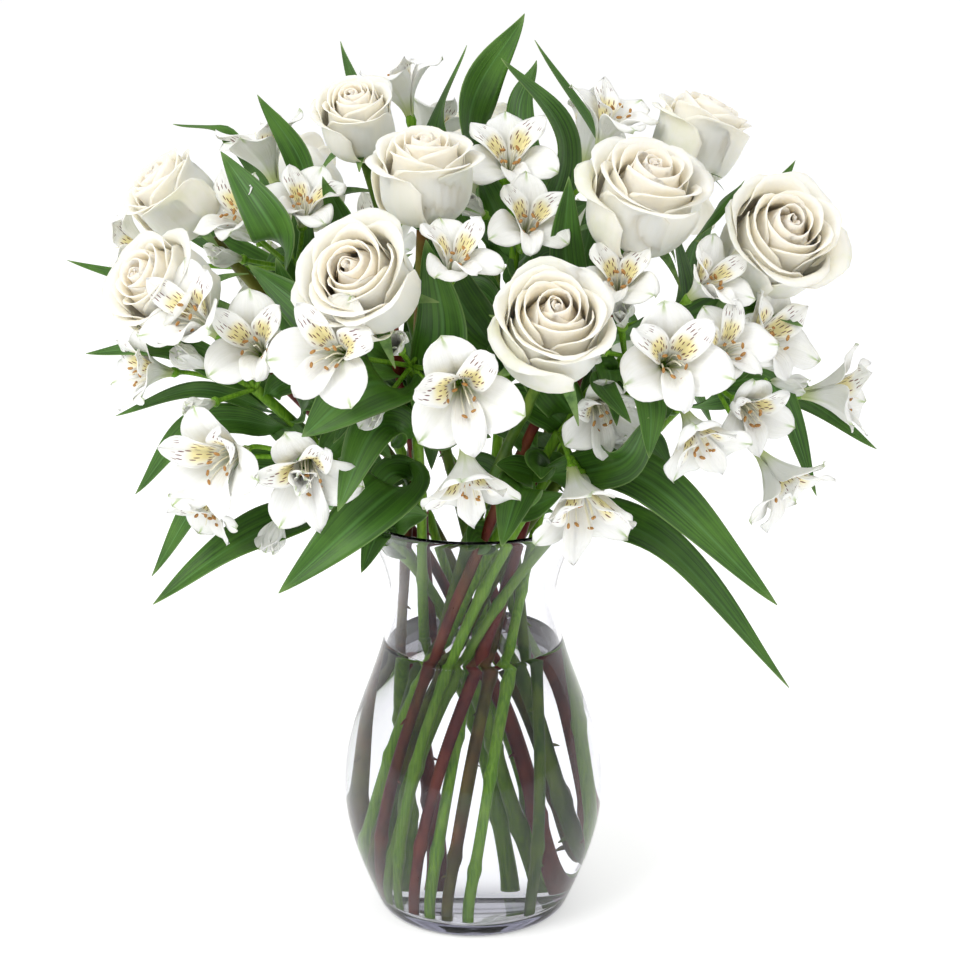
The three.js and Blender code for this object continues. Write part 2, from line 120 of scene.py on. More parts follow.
class Finish:
    """One material under construction."""

    def __init__(self, name):
        self.material = bpy.data.materials.new(name)
        self.material.use_nodes = True
        self.tree = self.material.node_tree
        self.shader = self.tree.nodes["Principled BSDF"]

    def feed(self, socket, item):
        if isinstance(item, Value):
            self.tree.links.new(item.socket, socket)
        elif isinstance(item, bpy.types.NodeSocket):
            self.tree.links.new(item, socket)
        else:
            socket.default_value = item

    def node(self, kind, settings, inputs):
        """Adds a node: settings first, then inputs as a list in order or a dict by name."""
        node = self.tree.nodes.new(kind)
        for name, setting in settings.items():
            setattr(node, name, setting)
        pairs = inputs.items() if isinstance(inputs, dict) else enumerate(inputs)
        for key, item in pairs:
            self.feed(node.inputs[key], item)
        return node

    def value(self, kind, settings, inputs):
        return Value(self, self.node(kind, settings, inputs).outputs[0])

    def attribute(self, name):
        node = self.node("ShaderNodeAttribute", {"attribute_name": name}, {})
        return Value(self, node.outputs["Fac"])

    def object_place(self, stretch=(1, 1, 1)):
        place = self.node("ShaderNodeTexCoord", {}, {}).outputs["Object"]
        return self.node("ShaderNodeMapping", {}, {"Vector": place, "Scale": stretch}).outputs[0]

    def plane(self, x, y, z=0.0):
        return self.node("ShaderNodeCombineXYZ", {}, [x, y, z]).outputs[0]

    def noise(self, place, scale, detail=3.0):
        inputs = {"Vector": place, "Scale": scale, "Detail": detail}
        return Value(self, self.node("ShaderNodeTexNoise", {}, inputs).outputs["Fac"])

    def blend(self, share, first, second):
        """A colour that goes from the first to the second as share goes from 0 to 1."""
        node = self.node("ShaderNodeMix", {"data_type": "RGBA"}, {})
        self.feed(node.inputs["Factor"], share)
        for socket, colour in zip((node.inputs[6], node.inputs[7]), (first, second)):
            self.feed(socket, colour if isinstance(colour, bpy.types.NodeSocket) else (*colour, 1))
        return node.outputs[2]

    def bump(self, height, depth, strength=1.0):
        inputs = {"Strength": strength, "Distance": depth, "Height": height}
        self.feed(self.shader.inputs["Normal"], self.node("ShaderNodeBump", {}, inputs).outputs[0])

    def absorb(self, colour, density):
        """Colours the light by the way that it goes inside the material."""
        inputs = {"Color": (*colour, 1), "Density": density}
        node = self.node("ShaderNodeVolumeAbsorption", {}, inputs)
        self.tree.links.new(node.outputs[0], self.tree.nodes["Material Output"].inputs["Volume"])

    def finish(self, **inputs):
        """Sets the main shader's sockets; underscores stand for the spaces in their names."""
        for name, item in inputs.items():
            self.feed(self.shader.inputs[name.replace("_", " ")], item)
        return self.material


# %% [markdown]
# ## Stage and light
# A plain white floor and an even white surround, as in a light tent. A large soft lamp high on
# the left gives the petals a brighter and a darker side, and two weaker ones fill from the right
# and from above. The floor glows a little, so that it stays white under the flowers.

# %% Stage and light
FLOOR_SIZE = 12.0
FLOOR_DROP = 0.0002
FLOOR_GLOW = 0.38
SURROUND_STRENGTH = 0.67
LAMP_TARGET = (0, 0, 0.3)
bpy.ops.object.select_all(action="DESELECT")
bpy.ops.mesh.primitive_plane_add(size=FLOOR_SIZE, location=(0, 0, -FLOOR_DROP))
floor = bpy.context.object
floor.name = "floor"
floor_finish = Finish("floor_white")
floor_look = floor_finish.finish(
    Base_Color=(0.93, 0.93, 0.93, 1), Roughness=0.9,
    Emission_Color=(1, 1, 1, 1), Emission_Strength=FLOOR_GLOW,
)
floor.data.materials.append(floor_look)

world = bpy.data.worlds.new("surround")
world.use_nodes = True
world.node_tree.nodes["Background"].inputs["Color"].default_value = (1, 1, 1, 1)
world.node_tree.nodes["Background"].inputs["Strength"].default_value = SURROUND_STRENGTH
bpy.context.scene.world = world


def soft_lamp(name, place, target, size, power):
    """A square lamp that shines from one point towards another."""
    data = bpy.data.lights.new(name, "AREA")
    data.size = size
    data.energy = power
    lamp = bpy.data.objects.new(name, data)
    lamp.location = place
    aim = np.array(target) - np.array(place)
    pitch = math.atan2(math.hypot(aim[0], aim[1]), -aim[2])
    lamp.rotation_euler = (pitch, 0, math.atan2(aim[1], aim[0]) - math.pi / 2)
    bpy.context.scene.collection.objects.link(lamp)
    return lamp


soft_lamp("key_lamp", (-1.1, -1.1, 1.6), LAMP_TARGET, 1.1, 22)
soft_lamp("right_lamp", (1.2, -0.9, 1.4), LAMP_TARGET, 0.9, 4)
soft_lamp("top_lamp", (0.3, 0.3, 1.9), LAMP_TARGET, 1.2, 4)

# %% [markdown]
# ## Building sheets, tubes and spun shapes
# Petals and leaves are sheets: a grid is added once, and each sheet bends a copy of it. Stems and
# stalks are tubes that follow a line of points. Glass and calyxes are profiles spun round an axis.


# %% Building tools
def only(thing):
    """Selects one object and makes it active, because an operator acts on all that is selected."""
    bpy.ops.object.select_all(action="DESELECT")
    thing.select_set(True)
    bpy.context.view_layer.objects.active = thing


def grid_pattern(across, along):
    """Adds a grid and gives its (u from -1 to 1, v from 0 to 1, faces)."""
    bpy.ops.object.select_all(action="DESELECT")
    bpy.ops.mesh.primitive_grid_add(x_subdivisions=across, y_subdivisions=along, size=2)
    grid = bpy.context.object
    spots = np.array([vertex.co[:] for vertex in grid.data.vertices])
    faces = np.array([face.vertices[:] for face in grid.data.polygons])
    bpy.data.objects.remove(grid)
    return spots[:, 0], (spots[:, 1] + 1) / 2, faces


def smooth(x, low, high):
    share = np.clip((x - low) / (high - low), 0, 1)
    return share * share * (3 - 2 * share)


def unit(v):
    v = np.asarray(v, float)
    return v / max(np.linalg.norm(v), 1e-12)


class Shape:
    """Collects sheets and tubes into one mesh with their surface numbers u, v and tone."""

    def __init__(self):
        self.points, self.faces, self.numbers = [], [], []
        self.count = 0

    def add(self, points, faces, u, v, tone):
        self.points.append(np.asarray(points, float))
        self.faces.extend([[i + self.count for i in face] for face in faces])
        self.numbers.append(np.column_stack([u, v, np.broadcast_to(tone, len(points))]))
        self.count += len(points)

    def take(self, other):
        """Adds everything that another shape has collected."""
        self.points += other.points
        self.faces += [[i + self.count for i in face] for face in other.faces]
        self.numbers += other.numbers
        self.count += other.count

    def piece(self, name, finish, thickness=0.0):
        mesh = bpy.data.meshes.new(name)
        mesh.from_pydata(np.concatenate(self.points).tolist(), [], self.faces)
        numbers = np.concatenate(self.numbers)
        for column, label in enumerate(("across", "along", "tone")):
            layer = mesh.attributes.new(label, "FLOAT", "POINT")
            layer.data.foreach_set("value", numbers[:, column].astype(np.float32))
        mesh.materials.append(finish)
        made = bpy.data.objects.new(name, mesh)
        bpy.context.scene.collection.objects.link(made)
        if thickness:
            skin = made.modifiers.new("thickness", "SOLIDIFY")
            skin.thickness = thickness
            skin.offset = 0
            only(made)
            bpy.ops.object.modifier_apply(modifier=skin.name)
        made.data.shade_smooth()
        return made


def spline(points, steps):
    """Points along a smooth curve through the given ones."""
    points = np.asarray(points, float)
    before = 2 * points[0] - points[1]
    after = 2 * points[-1] - points[-2]
    knots = np.vstack([before, points, after])
    result = []
    for share in np.linspace(0, len(points) - 1, steps):
        index = min(int(share), len(points) - 2)
        t = share - index
        a, b, c, d = knots[index : index + 4]
        result.append(
            0.5 * (2 * b + (c - a) * t + (2 * a - 5 * b + 4 * c - d) * t**2 + (3 * b - a - 3 * c + d) * t**3)
        )
    return np.array(result)


def tube(shape, line, radii, sides, tone):
    """A closed tube along a line, with a rounded tip at each end."""
    line = np.asarray(line, float)
    radii = np.broadcast_to(radii, len(line)).astype(float)
    tangents = np.gradient(line, axis=0)
    side = unit(np.cross(tangents[0], (0.3, 0.5, 0.81)))
    rings, angles = [], np.linspace(0, 2 * np.pi, sides, endpoint=False)
    for place, tangent, radius in zip(line, tangents, radii):
        tangent = unit(tangent)
        side = unit(side - tangent * np.dot(side, tangent))
        other = np.cross(tangent, side)
        rings.append(place + radius * (np.outer(np.cos(angles), side) + np.outer(np.sin(angles), other)))
    points = np.vstack([*rings, line[:1], line[-1:]])
    faces = []
    for ring in range(len(line) - 1):
        for k in range(sides):
            n = (k + 1) % sides
            low, high = ring * sides, (ring + 1) * sides
            faces.append([low + k, low + n, high + n, high + k])
    start, end = len(points) - 2, len(points) - 1
    top = (len(line) - 1) * sides
    for k in range(sides):
        n = (k + 1) % sides
        faces.append([start, n, k])
        faces.append([end, top + k, top + n])
    along = np.repeat(np.linspace(0, 1, len(line)), sides)
    around = np.tile(angles / (2 * np.pi), len(line))
    shape.add(points, faces, np.append(around, [0, 0]), np.append(along, [0, 1]), tone)


def spun(name, profile, steps, finish):
    """Spins a profile of (radius, height) round the upright axis into one closed skin."""
    mesh = bpy.data.meshes.new(name)
    edges = [(k, k + 1) for k in range(len(profile) - 1)]
    mesh.from_pydata([(r, 0, h) for r, h in profile], edges, [])
    made = bpy.data.objects.new(name, mesh)
    bpy.context.scene.collection.objects.link(made)
    only(made)
    bpy.ops.object.mode_set(mode="EDIT")
    bpy.ops.mesh.select_all(action="SELECT")
    bpy.ops.mesh.spin(steps=steps, angle=2 * math.pi, center=(0, 0, 0), axis=(0, 0, 1))
    bpy.ops.mesh.select_all(action="SELECT")
    bpy.ops.mesh.remove_doubles(threshold=1e-6)
    bpy.ops.mesh.normals_make_consistent(inside=False)
    bpy.ops.object.mode_set(mode="OBJECT")
    made.data.shade_smooth()
    made.data.materials.append(finish)
    return made


def settle_piece(piece, slot, *nodes):
    """Every piece rides on the one body and may stand for construction nodes; the slot is not used."""
    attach(piece, "root")
    if nodes:
        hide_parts(*nodes)
    return piece


# %% [markdown]
# ## The vase
# Machine-blown clear glass: a round foot, a full belly, a waist and a flared rim whose lip is
# rounded by fire. Its outside follows the construction's curve, and the wall is thin at the rim
# and thick in the floor. Clear glass is one shader with full transmission. A faint grey-violet
# absorption inside it darkens only the places where the line of sight runs along the wall.

# %% Vase
low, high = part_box("vase")
VASE_HEIGHT = high[2]
BELLY_RADIUS = high[0]
FOOT_RADIUS = BELLY_RADIUS * 0.72
NECK_RADIUS = BELLY_RADIUS * 0.633
RIM_RADIUS = BELLY_RADIUS * 0.906
BELLY_HEIGHT = VASE_HEIGHT * 0.308
NECK_HEIGHT = VASE_HEIGHT * 0.795
WALL = 2.6 * MM
GLASS_FLOOR = 7 * MM
WATER_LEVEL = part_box("water")[1][2]


def vase_radius(height):
    """The outside radius of the glass at a height."""
    if height < BELLY_HEIGHT:
        return FOOT_RADIUS + (BELLY_RADIUS - FOOT_RADIUS) * math.sin(math.pi / 2 * height / BELLY_HEIGHT)
    if height < NECK_HEIGHT:
        share = (height - BELLY_HEIGHT) / (NECK_HEIGHT - BELLY_HEIGHT)
        return BELLY_RADIUS + (NECK_RADIUS - BELLY_RADIUS) * (0.5 - 0.5 * math.cos(math.pi * share))
    share = (height - NECK_HEIGHT) / (VASE_HEIGHT - NECK_HEIGHT)
    return NECK_RADIUS + (RIM_RADIUS - NECK_RADIUS) * share**1.6


def vase_profile():
    """Points out and up: the outside from the foot, over the lip, and down the inside."""
    foot_edge = 3 * MM
    lip_middle = (RIM_RADIUS - WALL / 2, VASE_HEIGHT - WALL / 2)
    lip_turns = np.linspace(math.pi / 3, -math.pi / 3, 5)
    outside = [(0, 1.2 * MM), (FOOT_RADIUS * 0.8, 1.2 * MM), (FOOT_RADIUS * 0.86, 0)]
    outside += [(FOOT_RADIUS - foot_edge, 0), (FOOT_RADIUS - 0.8 * MM, 0.7 * MM)]
    outside += [(vase_radius(h), h) for h in np.linspace(foot_edge, VASE_HEIGHT - 1.3 * MM, 60)]
    lip = [
        (lip_middle[0] + WALL / 2 * math.sin(turn), lip_middle[1] + WALL / 2 * math.cos(turn))
        for turn in lip_turns
    ]
    inner_floor = GLASS_FLOOR + 5 * MM
    inside = [(vase_radius(h) - WALL, h) for h in np.linspace(VASE_HEIGHT - 1.3 * MM, inner_floor, 60)]
    corner = vase_radius(GLASS_FLOOR) - WALL
    round_in = [(corner - 1.5 * MM, GLASS_FLOOR + 2 * MM), (corner - 6 * MM, GLASS_FLOOR + 0.3 * MM)]
    return outside + lip + inside + round_in + [(0, GLASS_FLOOR)]


GLASS_TINT = (0.78, 0.78, 0.84)
GLASS_DENSITY = 45.0
glass = Finish("clear_glass")
glass.absorb(GLASS_TINT, GLASS_DENSITY)
glass_look = glass.finish(
    Base_Color=(0.985, 0.985, 1.0, 1), Roughness=0.0, IOR=1.45, Transmission_Weight=1.0,
    Specular_Tint=(0.3, 0.3, 0.33, 1),
)
vase = settle_piece(spun("glass_vase", vase_profile(), 96, glass_look), "clear_glass", "vase")
print("glass vase faces", len(vase.data.polygons))

# %% [markdown]
# ## The water
# The water reaches a hair into the glass, so that no sheet of air is left between the two, and
# its surface climbs a little where it meets the wall.

# %% Water
OVERLAP = 0.15 * MM
water_side = [
    (vase_radius(h) - WALL + OVERLAP, h) for h in np.linspace(GLASS_FLOOR + 5 * MM, WATER_LEVEL + 1 * MM, 48)
]
corner = vase_radius(GLASS_FLOOR) - WALL
water_bottom = [(0, GLASS_FLOOR - OVERLAP), (corner - 6 * MM, GLASS_FLOOR + 0.15 * MM)]
water_bottom += [(corner - 1.4 * MM, GLASS_FLOOR + 1.9 * MM)]
reach = vase_radius(WATER_LEVEL) - WALL
meniscus = [(reach - 1.2 * MM, WATER_LEVEL + 0.2 * MM), (reach - 3 * MM, WATER_LEVEL)]
water_profile = water_bottom + water_side + meniscus + [(0, WATER_LEVEL)]
water_finish = Finish("water")
water_look = water_finish.finish(
    Base_Color=(0.99, 0.995, 1.0, 1), Roughness=0.0, IOR=1.333, Transmission_Weight=1.0
)
water = settle_piece(spun("vase_water", water_profile, 96, water_look), "water", "water")

# %% [markdown]
# ## Stem finishes
# Alstroemeria stems are smooth, fresh green and faintly streaked along their length. Rose stems
# are olive to wine red and mottled, with thorns.


# %% Stem finishes
def green_stem_look():
    look = Finish("alstroemeria_stem_green")
    streaks = look.noise(look.object_place((900, 900, 25)), 1.0)
    patches = look.noise(look.object_place(), 60.0)
    tone = look.attribute("tone")
    colour = look.blend(streaks.ramp(0.3, 0.7), (0.11, 0.30, 0.010), (0.25, 0.52, 0.03))
    colour = look.blend(patches.ramp(0.45, 0.8) * 0.5, colour, (0.30, 0.48, 0.08))
    colour = look.blend(tone * 0.6, colour, (0.12, 0.20, 0.03))
    look.bump(streaks, 0.25 * MM, 0.5)
    return look.finish(Base_Color=colour, Roughness=0.3 + streaks * 0.2, Specular_IOR_Level=0.22)


def rose_stem_look():
    look = Finish("rose_stem_olive")
    mottle = look.noise(look.object_place((1, 1, 0.35)), 130.0, 5.0)
    patches = look.noise(look.object_place(), 35.0)
    tone = look.attribute("tone")
    green = look.blend(mottle.ramp(0.35, 0.7), (0.045, 0.11, 0.010), (0.14, 0.22, 0.025))
    wine = look.blend(mottle.ramp(0.35, 0.7), (0.11, 0.010, 0.010), (0.24, 0.045, 0.025))
    colour = look.blend((patches * 0.5 + tone).ramp(0.45, 0.95), green, wine)
    look.bump(mottle, 0.4 * MM, 0.6)
    return look.finish(Base_Color=colour, Roughness=0.35 + mottle * 0.25, Specular_IOR_Level=0.22)


green_stem = green_stem_look()
rose_stem = rose_stem_look()

# %% [markdown]
# ## Stems
# Each construction stem is cut by level planes, and the middle of each cut gives the line that
# the finished stem follows. Swollen rings and thorns sit along it.


# %% Stem lines
SMOOTHING_ROUNDS = 4
LEVEL_STEP = 8 * MM
STEM_REACH = 6 * MM  # how far from the expected middle a cut can lie and still belong to the stem
ROSE_STEM_RADIUS = 2.9 * MM
ALSTROEMERIA_STEM_RADIUS = 2.7 * MM


def middle_line(node):
    """The middle line of an upright stem node, followed from its foot by level cuts."""
    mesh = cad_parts[node].data
    spots = np.array([vertex.co[:] for vertex in mesh.vertices])
    edges = np.array([edge.vertices[:] for edge in mesh.edges])
    bottom = spots[:, 2].min()
    near = spots[spots[:, 2] < bottom + 0.5 * MM]
    line = [near.mean(axis=0)]
    drift = np.zeros(3)
    for height in np.arange(bottom + 4 * MM, spots[:, 2].max(), LEVEL_STEP):
        a, b = spots[edges[:, 0]], spots[edges[:, 1]]
        crossing = (a[:, 2] - height) * (b[:, 2] - height) < 0
        a, b = a[crossing], b[crossing]
        cuts = a + (b - a) * ((height - a[:, 2]) / (b[:, 2] - a[:, 2]))[:, None]
        guess = line[-1] + drift
        close = cuts[np.linalg.norm(cuts[:, :2] - guess[:2], axis=1) < STEM_REACH]
        if len(close) < 4:
            break
        middle = (close.min(axis=0) + close.max(axis=0)) / 2
        drift = 0.6 * drift + 0.4 * (middle - line[-1]) if len(line) > 2 else middle - line[-1]
        line.append(middle)
    line = np.array(line)
    for _ in range(SMOOTHING_ROUNDS):
        line[1:-1] = 0.25 * line[:-2] + 0.5 * line[1:-1] + 0.25 * line[2:]
    return line


def thorn(shape, place, outward, size, tone):
    """A curved thorn: a broad flat base that sweeps down to a point."""
    tip = place + outward * size + np.array([0, 0, -0.35 * size])
    course = spline([place - outward * size * 0.3, place + outward * size * 0.45, tip], 6)
    tube(shape, course, np.linspace(0.36, 0.04, 6) * size, 6, tone)


def stem_piece(name, line, radius, finish, tone, rings, thorns=0):
    """One stem along its line, with swollen rings and thorns spaced over its length."""
    shape = Shape()
    steps = max(24, 3 * len(line))
    course = spline(line, steps)
    radii = radius * (1 + 0.05 * np.sin(np.linspace(0, 17, steps) + tone * 9))
    for share in np.linspace(0.12, 0.9, rings):
        radii += radius * 0.28 * np.exp(-(((np.arange(steps) / steps - share) * steps / 1.3) ** 2))
    tube(shape, course, radii, 12, tone)
    for number in range(thorns):
        share = 0.06 + 0.86 * (number + rng.random() * 0.6) / thorns
        place = course[int(share * (steps - 1))]
        angle = rng.random() * 2 * math.pi
        outward = np.array([math.cos(angle), math.sin(angle), 0])
        thorn(shape, place, outward, radius * rng.uniform(1.4, 2.1), tone)
    return shape.piece(name, finish)


ROSE_COUNT = sum(node.endswith("_bloom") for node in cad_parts)
ALSTROEMERIA_COUNT = sum(node.endswith("_florets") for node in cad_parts)
print(ROSE_COUNT, "roses and", ALSTROEMERIA_COUNT, "alstroemerias")
rose_lines, alstroemeria_lines = [], []
for number in range(1, ROSE_COUNT + 1):
    node = f"rose_{number}_stem"
    line = middle_line(node)
    rose_lines.append(line)
    tone = (number * 0.37) % 1
    piece = stem_piece(f"rose_stem_{number}", line, ROSE_STEM_RADIUS, rose_stem, tone, 4, thorns=7)
    settle_piece(piece, "rose_stem", node)
for number in range(1, ALSTROEMERIA_COUNT + 1):
    node = f"alstroemeria_{number}_stem_and_leaves"
    line = middle_line(node)
    alstroemeria_lines.append(line)
    tone = (number * 0.41) % 1
    piece = stem_piece(f"alstroemeria_stem_{number}", line, ALSTROEMERIA_STEM_RADIUS, green_stem, tone, 6)
    settle_piece(piece, "leaf_and_stem_green", node)
    print(node, "followed up to", round(line[-1][2] / MM), "mm")

# %% [markdown]
# ## Rose petals
# A rose is a spiral of petals, each turned by the golden angle from the last. The inner ones wrap
# tightly and lean in, the next ones cup, and the outer ones roll back at the rim. A petal follows
# a path from the calyx to its rim: the path's lean is a formula, and its steps are summed up.

# %% Rose shape
GOLDEN_ANGLE = math.radians(137.5)
ROSE_PETALS = 21
PETAL_U, PETAL_V, PETAL_FACES = grid_pattern(12, 14)
PATH_STEPS = 40


def blend_numbers(first, second, share):
    """A number part of the way from the first to the second."""
    return first + (second - first) * share


def petal_path(age, openness, edge, wilt):
    """Distances out and up along one petal, in rose radii, at even steps to its rim."""
    s = np.linspace(0, 1, PATH_STEPS)
    base = math.radians(blend_numbers(24, 88, age)) * (1 - smooth(s, 0.0, 0.55))
    upright = math.radians(blend_numbers(-4, 9, age) * openness)
    closing = -math.radians(blend_numbers(26, 12, age)) * smooth(s, 0.4, 0.85)
    roll = blend_numbers(0, 118, age**1.5) * openness * (1 + 0.6 * edge**2) + wilt
    lean = base + upright + closing + math.radians(1) * roll * smooth(s, 0.72, 1.02) ** 1.2
    length = blend_numbers(1.62, 1.84, age) / (PATH_STEPS - 1)
    out = 0.05 + 0.07 * age + np.concatenate([[0], np.cumsum(np.sin(lean[:-1]) * length)])
    up = np.concatenate([[0], np.cumsum(np.cos(lean[:-1]) * length)])
    return out, up


def rose_petal(age, openness, jitter):
    """The points of one petal round an upright axis, for a rose of radius 1."""
    points = np.zeros((len(PETAL_U), 3))
    rim_wave = jitter.uniform(0, 6, 3)
    wilt = jitter.uniform(-8, 14) * age
    openness *= 1 + age * jitter.uniform(-0.25, 0.3)
    width = blend_numbers(0.62, 1.0, age) * jitter.uniform(0.92, 1.08)
    side_drop = blend_numbers(0.16, 0.30, age)
    for column in np.unique(np.round(PETAL_U, 5)):
        rows = np.abs(PETAL_U - column) < 1e-4
        v = PETAL_V[rows]
        out, up = petal_path(age, openness, abs(column), wilt)
        tip = 0.05 * age * math.exp(-((column / 0.16) ** 2))
        reach = 1 - side_drop * abs(column) ** 3 + tip
        share = np.clip(v * reach, 0, 1.0) * (PATH_STEPS - 1)
        steps = np.arange(PATH_STEPS)
        radius = np.interp(share, steps, out)
        height = np.interp(share, steps, up)
        spread = width * (0.34 + 0.66 * np.sin(np.pi / 2 * np.minimum(v / 0.62, 1)))
        angle = column * np.minimum(spread / np.maximum(radius, 0.2), 2.6)
        spiral = 1 + 0.30 * column * (1 - age) ** 1.3 + 0.07 * column
        ruffle = 0.022 * smooth(v, 0.7, 1) * (0.4 + age)
        wave = ruffle * (np.sin(4 * column + rim_wave[0]) + 0.5 * np.sin(9 * column + rim_wave[1]))
        radius = radius * spiral + wave + 0.012 * np.sin(4 * v + 3 * column + rim_wave[2])
        points[rows, 0] = radius * np.cos(angle)
        points[rows, 1] = radius * np.sin(angle)
        points[rows, 2] = height + 0.5 * wave
    return points


def facing_frame(direction, up=(0, 0, 1)):
    """Three columns: across, upright and forward, with forward along the direction."""
    forward = unit(direction)
    across = np.cross(up, forward)
    across = unit(across) if np.linalg.norm(across) > 0.05 else np.array([1.0, 0, 0])
    return np.column_stack([across, np.cross(forward, across), forward])


# %% [markdown]
# ## Rose finishes
# Ivory petals are peach in the folds of the heart, and a little green where they leave the
# calyx and on the rims of the outermost ones. Fine veins fan out along them.


# %% Rose finishes
def rose_petal_look():
    look = Finish("rose_petal_ivory")
    across, along, age = look.attribute("across"), look.attribute("along"), look.attribute("tone")
    veins = look.noise(look.plane(across * 16, along * 2.2, age * 40), 1.0, 4.0)
    patches = look.noise(look.object_place(), 70.0)
    heart = look.blend(age.ramp(0.05, 0.55), (0.98, 0.78, 0.52), (0.98, 0.89, 0.69))
    petal = look.blend(age.ramp(0.45, 0.85), heart, (0.98, 0.94, 0.79))
    petal = look.blend(along.ramp(0.55, 1.0) * 0.6, petal, (0.99, 0.96, 0.86))
    petal = look.blend(veins.ramp(0.5, 0.8) * 0.25, petal, (0.96, 0.89, 0.66))
    green = (1 - along.ramp(0.05, 0.42)) * 0.75 + age.ramp(0.85, 1.0) * patches.ramp(0.4, 0.7) * 0.35
    petal = look.blend(green, petal, (0.76, 0.78, 0.38))
    look.bump(veins, 0.35 * MM, 0.35)
    return look.finish(
        Base_Color=petal, Roughness=0.5 + veins * 0.15, Subsurface_Weight=0.45,
        Subsurface_Radius=(1.0, 0.78, 0.5), Subsurface_Scale=6 * MM, Specular_IOR_Level=0.35
    )


def calyx_look():
    look = Finish("calyx_green")
    grain = look.noise(look.object_place(), 320.0, 4.0)
    along = look.attribute("along")
    colour = look.blend(grain.ramp(0.3, 0.75), (0.05, 0.13, 0.02), (0.14, 0.27, 0.06))
    colour = look.blend(along.ramp(0.6, 1.0) * 0.5, colour, (0.25, 0.33, 0.10))
    look.bump(grain, 0.3 * MM, 0.5)
    return look.finish(Base_Color=colour, Roughness=0.45 + grain * 0.2)


ivory = rose_petal_look()
calyx_green = calyx_look()

# %% [markdown]
# ## Roses
# Each head sits where its stem ends and faces the way that the construction's head does. Under it
# are the swollen hip and five pointed sepals that have folded back.

# %% Roses
SEPAL_U, SEPAL_V, SEPAL_FACES = grid_pattern(4, 10)
SEPALS = 5
HIP_DEPTH = 0.22  # how far the petals start above the stem's end, in rose radii
OPENNESS = (0.9, 0.95, 0.75, 1.05, 0.9, 0.9, 1.1, 0.95, 0.95, 0.85, 0.9, 0.8)


def node_spots(node):
    """Every corner point of a construction node."""
    return np.array([vertex.co[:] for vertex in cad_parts[node].data.vertices])


def rose_place(number):
    """Where a rose's head starts, which way it faces, and its radius, from its two nodes."""
    bloom = node_spots(f"rose_{number}_bloom")
    stem = node_spots(f"rose_{number}_stem")
    middle = (bloom.min(axis=0) + bloom.max(axis=0)) / 2
    nearest = np.argsort(np.linalg.norm(stem - middle, axis=1))[:12]
    start = stem[nearest].mean(axis=0)
    direction = unit(middle - start)
    offsets = bloom - start
    radius = np.linalg.norm(offsets - np.outer(offsets @ direction, direction), axis=1).max()
    return start, direction, radius


def calyx(shape, radius):
    """A hip and its sepals, in a rose's own frame with +Z towards the petals."""
    heights = np.linspace(-0.02, 0.34, 9) * radius
    widths = radius * np.array([0.09, 0.13, 0.2, 0.25, 0.26, 0.25, 0.22, 0.2, 0.16])
    line = np.column_stack([np.zeros(9), np.zeros(9), heights])
    tube(shape, line, widths, 16, 0.3)
    for number in range(SEPALS):
        turn = 2 * math.pi * (number + rng.uniform(-0.15, 0.15)) / SEPALS
        lean = np.radians(60 + rng.uniform(10, 70) * SEPAL_V)
        length = radius * rng.uniform(0.75, 1.0)
        out = 0.18 * radius + length * SEPAL_V * np.sin(lean * 0.8)
        up = 0.3 * radius + length * SEPAL_V * np.cos(lean)
        width = 0.17 * radius * (1 - SEPAL_V**1.5) + 0.0003
        side = SEPAL_U * width
        cup = 0.25 * np.abs(SEPAL_U) * width
        x = out * math.cos(turn) - side * math.sin(turn)
        y = out * math.sin(turn) + side * math.cos(turn)
        shape.add(np.column_stack([x, y, up + cup]), SEPAL_FACES, SEPAL_U, SEPAL_V, 0.6)


def put(shape, place, axes):
    """Turns and moves everything collected in a shape."""
    shape.points = [points @ axes.T + place for points in shape.points]
    return shape


def build_rose(number, start, direction, radius, openness):
    """One head of petals and its calyx."""
    axes = facing_frame(direction)
    petals = Shape()
    turn = rng.uniform(0, 2 * math.pi)
    for count in range(ROSE_PETALS):
        age = (count + 0.5) / ROSE_PETALS
        points = rose_petal(age, openness, rng) * radius
        turn += GOLDEN_ANGLE
        cos, sin = math.cos(turn), math.sin(turn)
        points = points @ np.array([[cos, sin, 0], [-sin, cos, 0], [0, 0, 1]])
        points[:, 2] += HIP_DEPTH * radius
        petals.add(points, PETAL_FACES.tolist(), PETAL_U, PETAL_V, age)
    head = put(petals, start, axes).piece(f"rose_petals_{number}", ivory, 0.45 * MM)
    green = Shape()
    calyx(green, radius)
    under = put(green, start, axes).piece(f"rose_calyx_{number}", calyx_green, 0.0)
    return head, under


for number in range(1, ROSE_COUNT + 1):
    head, under = build_rose(number, *rose_place(number), OPENNESS[number - 1])
    settle_piece(head, "rose_petal", f"rose_{number}_bloom")
    settle_piece(under, "leaf_and_stem_green")
print("petals on each rose", ROSE_PETALS)

# %% [markdown]
# ## Where the florets and leaves are
# These places repeat the construction's, in millimetres: for each alstroemeria, its florets as
# (middle, way it faces, radius), and its leaves as (start height, a point passed, tip, width).

